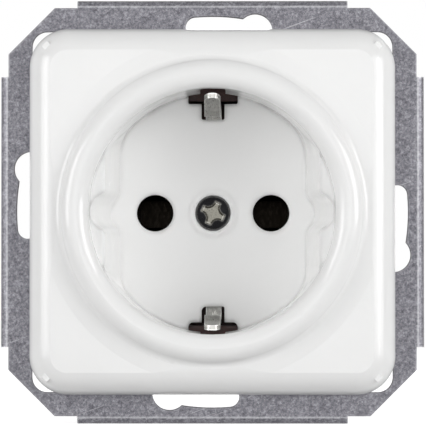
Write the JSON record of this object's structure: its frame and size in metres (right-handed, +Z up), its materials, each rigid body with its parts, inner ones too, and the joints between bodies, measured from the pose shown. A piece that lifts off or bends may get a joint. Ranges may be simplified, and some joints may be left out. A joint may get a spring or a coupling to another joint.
{
  "type": "type f wall socket",
  "caption": "Flush-mounted earthed wall socket insert: square white cover with raised lip and round plug recess on a galvanised support ring, with expanding claws behind.",
  "frame": {"origin": "centre of the box screw circle, on the rear face of the support ring's plate", "axes": "+X to the right as seen from the room, +Z up, +Y into the wall; the cover faces -Y"},
  "size_m": [0.0684, 0.0403, 0.0684],
  "materials": {
    "cover_plastic": "glossy moulding",
    "dark_screw": "dark passivated",
    "zinc_sheet": "galvanised sheet",
    "zinc_steel": "zinc plated",
    "base_plastic": "thermoset moulding",
    "nickel_strip": "nickel plated",
    "contact_brass": "stamped",
    "claw_steel": "zinc plated, stamped"
  },
  "bodies": {
    "insert": {"cover": "cover_plastic", "cover_screw": "dark_screw", "support_ring": "zinc_sheet", "ring_rivets": "zinc_steel", "socket_base": "base_plastic", "earth_bracket": "nickel_strip", "contact_left": "contact_brass", "contact_right": "contact_brass", "saddle_left_upper": "zinc_steel", "saddle_left_lower": "zinc_steel", "saddle_right_upper": "zinc_steel", "saddle_right_lower": "zinc_steel", "pole_screws": "zinc_steel", "earth_saddle": "zinc_steel", "earth_screw": "zinc_steel"},
    "claw_left": {"claw_left": "claw_steel"},
    "claw_right": {"claw_right": "claw_steel"},
    "claw_screw_left": {"claw_screw_left": "zinc_steel"},
    "claw_screw_right": {"claw_screw_right": "zinc_steel"},
    "claw_nut_left": {"claw_nut_left": "zinc_steel"},
    "claw_nut_right": {"claw_nut_right": "zinc_steel"}
  },
  "joints": [
    {"name": "claw_screw_left_turn", "type": "hinge", "parent": "insert", "child": "claw_screw_left", "pos_m": [-0.0248, 0, 0], "axis": [0, 1, 0], "range_deg": [0, 2020]},
    {"name": "claw_nut_left_slide", "type": "slide", "parent": "insert", "child": "claw_nut_left", "axis": [0, -1, 0], "range_m": [0, 0.0028]},
    {"name": "claw_left_swing", "type": "hinge", "parent": "insert", "child": "claw_left", "pos_m": [-0.0188, 0.0145, 0], "axis": [0, 0, 1], "range_deg": [0, 28.1]},
    {"name": "claw_screw_right_turn", "type": "hinge", "parent": "insert", "child": "claw_screw_right", "pos_m": [0.0248, 0, 0], "axis": [0, 1, 0], "range_deg": [0, 2020]},
    {"name": "claw_nut_right_slide", "type": "slide", "parent": "insert", "child": "claw_nut_right", "axis": [0, -1, 0], "range_m": [0, 0.0028]},
    {"name": "claw_right_swing", "type": "hinge", "parent": "insert", "child": "claw_right", "pos_m": [0.0188, 0.0145, 0], "axis": [0, 0, -1], "range_deg": [0, 28.1]}
  ],
  "couplings": [
    {"joint": "claw_screw_left_turn", "follows": "claw_nut_left_slide", "rad_per_m": 12566},
    {"joint": "claw_left_swing", "follows": "claw_nut_left_slide", "rad_per_m": 174.53},
    {"joint": "claw_screw_right_turn", "follows": "claw_nut_right_slide", "rad_per_m": 12566},
    {"joint": "claw_right_swing", "follows": "claw_nut_right_slide", "rad_per_m": 174.53}
  ]
}
